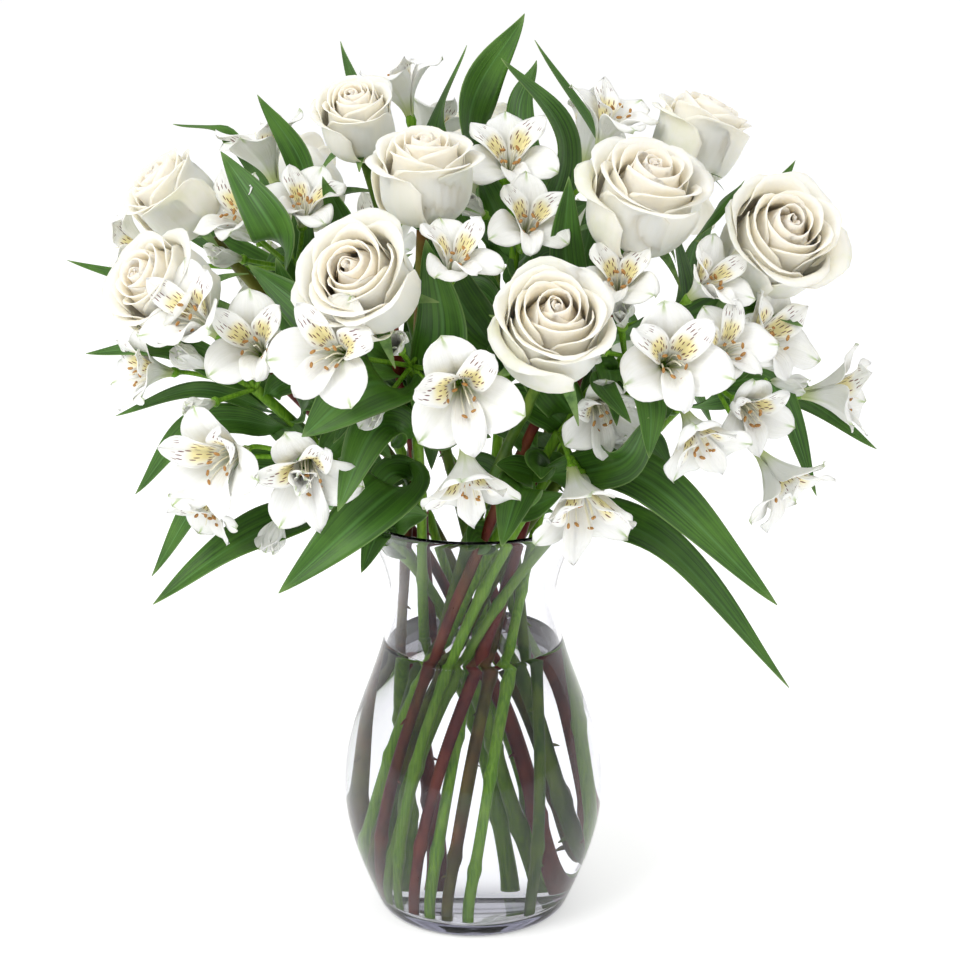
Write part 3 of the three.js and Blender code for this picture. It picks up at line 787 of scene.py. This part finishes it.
# %% Bouquet plan
FLORETS = (
    (
        ((-104, -86, 331), (-0.15, -0.85, 0.5), 22),
        ((-132, -84, 344), (-0.5, -0.6, 0.6), 22),
        ((-160, -52, 310), (-0.85, -0.5, 0.2), 18),
    ),
    (
        ((-120, -92, 277), (-0.5, -0.8, 0.05), 24),
        ((-80, -102, 274), (0.0, -0.9, -0.2), 22),
        ((-128, -86, 252), (-0.45, -0.55, -0.65), 18),
    ),
    (
        ((-106, 22, 404), (-0.35, 0.1, 0.95), 21),
        ((-116, -18, 380), (-0.5, -0.5, 0.7), 19),
        ((-84, -22, 386), (0.1, -0.5, 0.85), 18),
        ((-172, 14, 358), (-0.95, 0.1, 0.25), 18),
    ),
    (
        ((-64, -126, 338), (-0.25, -0.9, 0.3), 23),
        ((-5, -134, 322), (0.05, -0.98, 0.05), 25),
        ((-8, -92, 374), (0.2, -0.5, 0.8), 18),
        ((-2, -102, 270), (0.1, -0.6, -0.8), 22),
    ),
    (
        ((-36, 28, 436), (-0.3, 0.1, 0.95), 19),
        ((18, -14, 408), (0.0, -0.7, 0.7), 20),
        ((68, 0, 424), (0.35, -0.1, 0.95), 20),
        ((27, -54, 384), (0.1, -0.7, 0.6), 18),
    ),
    (
        ((93, -112, 330), (0.1, -0.9, 0.35), 24),
        ((70, -84, 362), (0.0, -0.7, 0.7), 18),
        ((112, -80, 360), (0.6, -0.5, 0.65), 18),
        ((120, -96, 332), (0.3, -0.7, 0.6), 18),
    ),
    (
        ((142, -62, 329), (0.6, -0.6, 0.5), 22),
        ((182, -20, 290), (0.95, -0.2, 0.1), 22),
        ((152, -52, 256), (0.6, -0.5, -0.65), 22),
        ((134, -74, 296), (0.35, -0.85, -0.1), 18),
    ),
    (
        ((108, -92, 288), (0.35, -0.7, -0.6), 20),
        ((52, -92, 256), (0.2, -0.75, -0.6), 25),
        ((62, -76, 296), (0.2, -0.9, -0.2), 18),
    ),
    (
        ((-48, 116, 340), (-0.2, 0.85, 0.5), 22),
        ((-108, 76, 318), (-0.8, 0.55, 0.1), 22),
        ((-66, 108, 290), (-0.3, 0.85, -0.35), 22),
        ((-22, 74, 408), (0.3, 0.4, 0.85), 20),
    ),
    (
        ((50, 118, 334), (0.25, 0.85, 0.45), 22),
        ((132, 66, 318), (0.85, 0.5, 0.1), 22),
        ((74, 106, 282), (0.3, 0.85, -0.35), 22),
        ((60, 66, 404), (0.2, 0.5, 0.85), 20),
    ),
)
LEAVES = (
    (
        (266, (-82, -38, 318), (-96, -48, 366), 20),
        (292, (-144, -50, 320), (-192, -42, 316), 12),
        (284, (-136, -44, 298), (-180, -32, 281), 7),
        (276, (-136, -50, 282), (-170, -42, 243), 13),
        (290, (-140, -20, 336), (-203, -18, 358), 9),
    ),
    (
        (258, (-122, -70, 262), (-161, -62, 206), 14),
        (240, (-108, -68, 230), (-157, -92, 202), 20),
    ),
    (
        (322, (-62, -12, 366), (-74, -30, 402), 18),
        (338, (-96, -40, 376), (-124, -24, 414), 20),
        (346, (-84, 4, 396), (-108, 8, 437), 14),
        (336, (-120, 44, 404), (-153, 26, 419), 8),
    ),
    (
        (276, (-46, -92, 292), (-64, -118, 258), 20),
        (290, (-14, -82, 336), (-22, -94, 384), 22),
        (300, (-50, -112, 318), (-80, -122, 296), 27),
        (306, (-66, -66, 332), (-110, -46, 362), 22),
        (250, (-44, -88, 254), (-93, -118, 217), 25),
    ),
    (
        (354, (-2, 8, 424), (26, 18, 476), 22),
        (336, (46, 6, 408), (14, 2, 456), 20),
        (318, (-18, 32, 400), (-3, 56, 455), 14),
        (300, (-8, -34, 344), (-18, -52, 388), 20),
        (284, (52, -14, 350), (60, -26, 398), 18),
    ),
    (
        (296, (46, -58, 364), (46, -64, 409), 15),
        (280, (34, -76, 318), (24, -90, 372), 20),
        (308, (84, -94, 308), (84, -110, 282), 14),
        (300, (62, -88, 312), (75, -112, 300), 10),
        (304, (126, -44, 340), (161, -60, 334), 16),
        (306, (58, -70, 352), (79, -86, 392), 9),
    ),
    (
        (272, (104, -26, 336), (100, -30, 378), 18),
        (290, (150, -28, 296), (173, -42, 242), 15),
        (284, (158, -8, 288), (206, -20, 260), 13),
        (294, (146, 10, 372), (164, 18, 402), 9),
        (288, (112, 20, 352), (136, -6, 396), 14),
    ),
    (
        (250, (70, -84, 272), (84, -104, 300), 18),
        (240, (22, -78, 256), (14, -104, 236), 18),
        (262, (88, -68, 256), (150, -88, 200), 22),
        (232, (92, -58, 224), (159, -70, 149), 20),
    ),
    (
        (294, (-50, 40, 402), (-68, 50, 458), 14),
        (270, (-24, 78, 318), (-20, 92, 368), 18),
        (300, (-104, 106, 296), (-140, 118, 250), 16),
        (286, (-50, 106, 272), (-66, 136, 226), 20),
        (304, (-128, 52, 348), (-176, 58, 372), 13),
    ),
    (
        (262, (76, 34, 376), (31, 38, 460), 15),
        (264, (28, 72, 316), (30, 96, 356), 18),
        (292, (104, 102, 286), (134, 116, 234), 18),
        (278, (44, 104, 262), (44, 138, 212), 20),
        (296, (150, 44, 330), (188, 52, 350), 13),
        (300, (26, 96, 400), (34, 110, 440), 14),
    ),
)

# %% [markdown]
# ## Alstroemeria petals
# A floret has three broad outer petals and three narrow inner ones on slender claws. They rise
# together as a trumpet and then spread. The two upper inner petals carry a yellow patch and dark
# dashes that lead insects in, and every outer petal ends in a green point.

# %% Floret shape
TEPAL_U, TEPAL_V, TEPAL_FACES = grid_pattern(10, 20)
OUTER, INNER_UPPER, INNER_LOWER = 0.0, 0.5, 1.0
# kind, angle round the floret in degrees, lean at the start, in the middle and at the tip
TEPALS = (
    (OUTER, 90, 16, 46, 82),
    (OUTER, 212, 16, 48, 88),
    (OUTER, 328, 16, 48, 88),
    (INNER_UPPER, 38, 12, 34, 62),
    (INNER_UPPER, 142, 12, 34, 62),
    (INNER_LOWER, 270, 14, 40, 76),
)


def tepal(kind, angle, lean_start, lean_middle, lean_tip, spread, jitter):
    """The points of one petal for a floret of radius 1, facing +Z."""
    outer = kind == OUTER
    length = (1.74 if outer else 1.78) * jitter.uniform(0.93, 1.05)
    width = (0.52 if outer else 0.30) * jitter.uniform(0.90, 1.08)
    claw = 0.20 if outer else 0.16
    lean_middle *= spread
    lean_tip = lean_tip * spread + jitter.uniform(-14, 18)
    s = np.linspace(0, 1, PATH_STEPS)
    to_middle = (lean_middle - lean_start) * smooth(s, 0.12, 0.55)
    to_tip = (lean_tip - lean_middle) * smooth(s, 0.5, 1.0)
    lean = np.radians(lean_start + to_middle + to_tip)
    step = length / (PATH_STEPS - 1)
    out = 0.07 + np.concatenate([[0], np.cumsum(np.sin(lean[:-1]) * step)])
    up = np.concatenate([[0], np.cumsum(np.cos(lean[:-1]) * step)])
    share = TEPAL_V * (PATH_STEPS - 1)
    steps = np.arange(PATH_STEPS)
    radius, height, tilt = (np.interp(share, steps, row) for row in (out, up, lean))
    widest = 0.64 if outer else 0.70
    body = claw + (1 - claw) * smooth(TEPAL_V, 0.10, widest) ** 0.9
    past = np.clip((TEPAL_V - widest) / (1.0 - widest), 0, 1)
    body = np.where(TEPAL_V > widest, (1 - past**2.1) ** 0.72 + 0.02, body)
    side = TEPAL_U * width * body
    wave = jitter.uniform(0, 6, 3)
    ruffle = 0.060 * np.abs(TEPAL_U) ** 1.4 * smooth(TEPAL_V, 0.35, 0.85)
    lift = ruffle * (np.sin(8 * TEPAL_V + 2 * TEPAL_U + wave[0]) + 0.6 * np.sin(15 * TEPAL_V + wave[1]))
    fold = (0.16 if outer else 0.34) * TEPAL_U**2 * body * width * 2
    crease = 0.045 * np.exp(-((TEPAL_U / 0.13) ** 2)) * body
    lift += fold * (1 - 1.7 * smooth(TEPAL_V, 0.55, 1.0)) - crease
    side += 0.05 * np.sin(3 * TEPAL_V + wave[2]) * smooth(TEPAL_V, 0.3, 1.0)
    turn = math.radians(angle + jitter.uniform(-8, 8))
    ahead_x = radius - lift * np.cos(tilt)
    z = height + lift * np.sin(tilt)
    x = ahead_x * math.cos(turn) - side * math.sin(turn)
    y = ahead_x * math.sin(turn) + side * math.cos(turn)
    return np.column_stack([x, y, z])


# %% Floret finishes
def alstroemeria_petal_look():
    look = Finish("alstroemeria_petal_white")
    across, along, kind = look.attribute("across"), look.attribute("along"), look.attribute("tone")
    veins = look.noise(look.plane(across * 11, along * 1.6, kind * 9), 1.0, 4.0)
    patches = look.noise(look.object_place(), 90.0)
    is_upper = kind.ramp(0.2, 0.4) * (1 - kind.ramp(0.6, 0.8))
    is_outer = 1 - kind.ramp(0.1, 0.3)
    petal = look.blend(veins.ramp(0.4, 0.75) * 0.35, (0.94, 0.94, 0.91), (0.84, 0.85, 0.75))
    base_green = (1 - along.ramp(0.06, 0.38)) * 0.85
    petal = look.blend(base_green, petal, (0.50, 0.60, 0.16))
    rib = 1 - abs(across).ramp(0.03, 0.20)
    tip = is_outer * (rib * along.ramp(0.80, 0.97) * 0.8 + along.ramp(0.96, 1.0) * 0.6)
    petal = look.blend(tip, petal, (0.34, 0.50, 0.12))
    stripe = is_outer * rib * (1 - along.ramp(0.2, 0.65)) * 0.35
    petal = look.blend(stripe, petal, (0.48, 0.60, 0.20))
    patch = along.ramp(0.34, 0.46) * (1 - along.ramp(0.60, 0.74)) * (1 - abs(across).ramp(0.45, 1.0))
    petal = look.blend(is_upper * patch * 0.75, petal, (0.94, 0.80, 0.26))
    spots = look.node(
        "ShaderNodeTexVoronoi", {"voronoi_dimensions": "2D"},
        {"Vector": look.plane(across * 5.5, along * 5.5), "Scale": 1.0, "Randomness": 0.85},
    )
    dash = 1 - Value(look, spots.outputs["Distance"]).ramp(0.16, 0.24)
    where = along.ramp(0.22, 0.34) * (1 - along.ramp(0.78, 0.9)) * (1 - abs(across).ramp(0.8, 0.95))
    share = is_upper + (1 - is_outer) * 0.2
    petal = look.blend(dash * where * share.ramp(0.1, 0.9) * 0.95, petal, (0.12, 0.012, 0.016))
    petal = look.blend(patches.ramp(0.5, 0.8) * 0.22, petal, (0.84, 0.86, 0.66))
    look.bump(veins, 0.5 * MM, 0.8)
    return look.finish(
        Base_Color=petal, Roughness=0.42 + veins * 0.2, Subsurface_Weight=0.2,
        Subsurface_Radius=(1.0, 0.9, 0.7), Subsurface_Scale=3 * MM, Specular_IOR_Level=0.4
    )


def stamen_look():
    look = Finish("stamen_gold")
    tone = look.attribute("tone")
    dust = look.noise(look.object_place(), 900.0, 4.0)
    anther = look.blend(dust.ramp(0.3, 0.7), (0.30, 0.13, 0.03), (0.52, 0.28, 0.08))
    colour = look.blend(tone.ramp(0.4, 0.6), (0.86, 0.84, 0.70), anther)
    look.bump(dust, 0.2 * MM, 0.4)
    return look.finish(Base_Color=colour, Roughness=0.6 + dust * 0.2)


petal_white = alstroemeria_petal_look()
stamen_gold = stamen_look()

# %% [markdown]
# ## Florets, stamens and buds
# Six stamens and a style spring from the trumpet's base and droop a little towards their tips.
# Each stem also carries two closed buds: the same petals, shorter and hardly spread. They are
# part of the stem's first floret piece.

# %% Florets
STAMENS = 6
BUDS = 2
FLORET_FULLNESS = 1.08


def stamens(shape, radius, jitter):
    """Six stamens with their anthers, and the style, in a floret's own frame."""
    for number in range(STAMENS + 1):
        style = number == STAMENS
        turn = 2 * math.pi * number / STAMENS + jitter.uniform(-0.3, 0.3)
        spread = radius * (0.08 if style else jitter.uniform(0.16, 0.30))
        reach = radius * (1.25 if style else jitter.uniform(0.85, 1.15))
        x, y = spread * math.cos(turn), spread * math.sin(turn) - 0.16 * radius
        line = spline([(0.3 * x, 0.3 * (y + 0.16 * radius), 0.05 * radius),
                       (0.7 * x, 0.7 * y + 0.1 * radius, 0.6 * reach), (x, y, reach)], 8)
        tube(shape, line, np.linspace(0.5, 0.32, 8) * MM, 5, 0.0)
        if not style:
            lean = unit((math.cos(turn + 1.2), math.sin(turn + 1.2), 0.5))
            ends = line[-1] + np.outer(np.linspace(-1.6, 1.6, 7) * MM, lean)
            plump = np.array([0.25, 0.8, 1.0, 1.0, 1.0, 0.8, 0.25]) * 0.8 * MM
            tube(shape, ends, plump, 6, 1.0)


def floret_place(middle, facing, size):
    """Where a floret's trumpet starts, which way it faces, and its radius."""
    direction = unit(facing)
    radius = size * FLORET_FULLNESS * MM
    return np.array(middle) * MM - direction * 0.7 * radius, direction, radius


def bud_places(top, florets, jitter):
    """The base and direction of each closed bud of a stem, between its open florets."""
    middle = unit(np.mean([unit(facing) for _, facing, _ in florets], axis=0))
    places = []
    for _ in range(BUDS):
        direction = unit(middle + jitter.uniform(-0.7, 0.7, 3))
        places.append((top + direction * jitter.uniform(22, 34) * MM, direction))
    return places


def bud_shape(places, jitter):
    """Closed buds: the same petals, shorter and hardly spread."""
    buds = Shape()
    for base, direction in places:
        for kind, *angles in TEPALS:
            bud = Shape()
            points = tepal(kind, *angles, 0.06, jitter) * jitter.uniform(11, 13) * MM
            bud.add(points, TEPAL_FACES.tolist(), TEPAL_U, TEPAL_V, OUTER)
            buds.take(put(bud, base, facing_frame(direction)))
    return buds


def build_floret(number, count, middle, facing, size, buds=None):
    """One floret's petals as a piece, with any buds beside it, and its stamens as a shape."""
    base, direction, radius = floret_place(middle, facing, size)
    spin = math.radians(rng.uniform(-28, 28))
    axes = facing_frame(direction, (math.sin(spin), 0, math.cos(spin)))
    petals = Shape()
    spread = rng.uniform(0.78, 1.08)
    for kind, *angles in TEPALS:
        points = tepal(kind, *angles, spread, rng) * radius
        petals.add(points, TEPAL_FACES.tolist(), TEPAL_U, TEPAL_V, kind)
    put(petals, base, axes)
    if buds:
        petals.take(buds)
    floret = petals.piece(f"floret_{number}_{count}", petal_white, 0.4 * MM)
    inside = Shape()
    stamens(inside, radius, rng)
    return floret, put(inside, base, axes)


all_buds = []
for number, florets in enumerate(FLORETS, start=1):
    anthers = Shape()
    places = bud_places(alstroemeria_lines[number - 1][-1], florets, rng)
    all_buds.append(places)
    for count, place in enumerate(florets, start=1):
        buds = bud_shape(places, rng) if count == 1 else None
        floret, inside = build_floret(number, count, *place, buds)
        settle_piece(floret, "alstroemeria_petal")
        anthers.take(inside)
    piece = anthers.piece(f"stamens_{number}", stamen_gold)
    settle_piece(piece, "alstroemeria_petal", f"alstroemeria_{number}_florets")
print("florets", sum(len(florets) for florets in FLORETS))

# %% [markdown]
# ## Leaves and floret stalks
# An alstroemeria leaf is a long blade that twists at its base, so its underside faces up. It has
# fine parallel veins, a satin skin and a pale edge. A whorl of short leaves sits close under the
# florets, and hides where their stalks meet. Leaves near the front turn their faces forwards.


# %% Leaves
def leaf_look():
    look = Finish("leaf_green")
    across, along, tone = look.attribute("across"), look.attribute("along"), look.attribute("tone")
    lines = look.noise(look.plane(across * 12, along * 0.8, tone * 50), 1.0, 2.0)
    patches = look.noise(look.object_place(), 45.0)
    colour = look.blend(lines.ramp(0.3, 0.7), (0.020, 0.070, 0.004), (0.055, 0.165, 0.011))
    colour = look.blend(patches.ramp(0.4, 0.75) * 0.5, colour, (0.095, 0.235, 0.020))
    rib = 1 - abs(across).ramp(0.02, 0.10)
    colour = look.blend(rib * 0.45, colour, (0.10, 0.26, 0.06))
    edge = abs(across).ramp(0.93, 1.0) * 0.5 + along.ramp(0.93, 1.0) * 0.5
    colour = look.blend(edge, colour, (0.22, 0.34, 0.10))
    colour = look.blend((1 - along.ramp(0.0, 0.25)) * 0.6, colour, (0.12, 0.30, 0.05))
    look.bump(lines, 0.5 * MM, 0.6)
    return look.finish(Base_Color=colour, Roughness=0.36 + lines * 0.2, Specular_IOR_Level=0.45)


leaf_green = leaf_look()
LEAF_U, LEAF_V, LEAF_FACES = grid_pattern(8, 32)
LEAF_STEPS = 60
FRONT_LIMIT = 70  # leaves with tips nearer the front than this turn their faces to the front
FRONT_TURN, BACK_TURN = -0.7, 0.3  # how far a leaf's face turns along Y
UPWARD_TURN, OUTWARD_TURN = 0.7, 0.8
BLADE_FULLNESS = 1.25
WHORL_LEAVES = 8


def leaf(shape, start, via, tip, width, jitter):
    """One blade from its stem through a point to its tip."""
    course = spline([start, np.array(via) * MM, np.array(tip) * MM], LEAF_STEPS)
    tangents = np.gradient(course, axis=0)
    outward = unit((tip[0], tip[1], 0))
    turn = FRONT_TURN if tip[1] < FRONT_LIMIT else BACK_TURN
    top_side = np.array([0, turn, UPWARD_TURN]) + OUTWARD_TURN * outward
    steps = np.arange(LEAF_STEPS)
    share = LEAF_V * (LEAF_STEPS - 1)
    place = np.column_stack([np.interp(share, steps, course[:, k]) for k in range(3)])
    along = np.column_stack([np.interp(share, steps, tangents[:, k]) for k in range(3)])
    along /= np.linalg.norm(along, axis=1)[:, None]
    across = np.cross(top_side, along)
    across /= np.linalg.norm(across, axis=1)[:, None]
    normal = np.cross(along, across)
    roll = math.radians(jitter.choice([-1, 1]) * 110) * (1 - smooth(LEAF_V, 0.0, 0.3))
    roll = roll + math.radians(jitter.uniform(-25, 25)) * LEAF_V
    turned = across * np.cos(roll)[:, None] + normal * np.sin(roll)[:, None]
    normal = normal * np.cos(roll)[:, None] - across * np.sin(roll)[:, None]
    body = 0.10 + 0.90 * np.sin(np.pi * LEAF_V**0.8) ** 0.9
    body = np.where(LEAF_V > 0.5, np.sin(np.pi * LEAF_V**0.8) ** 0.9 + 0.01, body)
    half = 0.5 * width * BLADE_FULLNESS * MM * body
    wave = jitter.uniform(0, 6, 2)
    lift = half * (0.28 * np.abs(LEAF_U) ** 1.3 + 0.05 * np.sin(14 * LEAF_V + wave[0]) * LEAF_U)
    lift += width * MM * 0.04 * np.sin(7 * LEAF_V + wave[1])
    points = place + turned * (LEAF_U * half)[:, None] + normal * lift[:, None]
    shape.add(points, LEAF_FACES.tolist(), LEAF_U, LEAF_V, jitter.random())


def stalk(shape, top, base, direction):
    """A floret's stalk from the stem's top, which swells into the green ovary."""
    before = base - direction * 0.3 * np.linalg.norm(base - top)
    line = spline([top, before, base + direction * 1.5 * MM], 16)
    thick = np.full(16, 1.25) + 1.6 * np.exp(-(((np.arange(16) - 14) / 1.5) ** 2))
    tube(shape, line, thick * MM, 8, 0.35)


def place_on(line, height):
    """The point of a stem's line at a height."""
    return np.array([np.interp(height, line[:, 2], line[:, k]) for k in range(3)])


def whorl(shape, line, jitter):
    """Short leaves set round the last stretch of a stem, close under its florets."""
    for count in range(WHORL_LEAVES):
        start = place_on(line, line[-1][2] - (4 + 9 * count) * MM) / MM
        turn = 2.4 * count + jitter.uniform(-0.4, 0.4)
        outward = np.array([math.cos(turn), math.sin(turn), 0])
        reach = jitter.uniform(30, 46)
        via = start + outward * reach * 0.55 + np.array([0, 0, reach * jitter.uniform(0.2, 0.5)])
        tip = start + outward * reach + np.array([0, 0, reach * jitter.uniform(-0.1, 0.6)])
        leaf(shape, start * MM, via, tip, jitter.uniform(11, 16), jitter)


for number, (leaves, florets) in enumerate(zip(LEAVES, FLORETS), start=1):
    line = alstroemeria_lines[number - 1]
    blades = Shape()
    for start, via, tip, width in leaves:
        leaf(blades, place_on(line, start * MM), via, tip, width, rng)
    whorl(blades, line, rng)
    piece = blades.piece(f"leaves_{number}", leaf_green, 0.35 * MM)
    settle_piece(piece, "leaf_and_stem_green")
    stalks = Shape()
    for place in [floret_place(*floret)[:2] for floret in florets] + all_buds[number - 1]:
        stalk(stalks, line[-1], *place)
    piece = stalks.piece(f"floret_stalks_{number}", green_stem)
    settle_piece(piece, "leaf_and_stem_green")
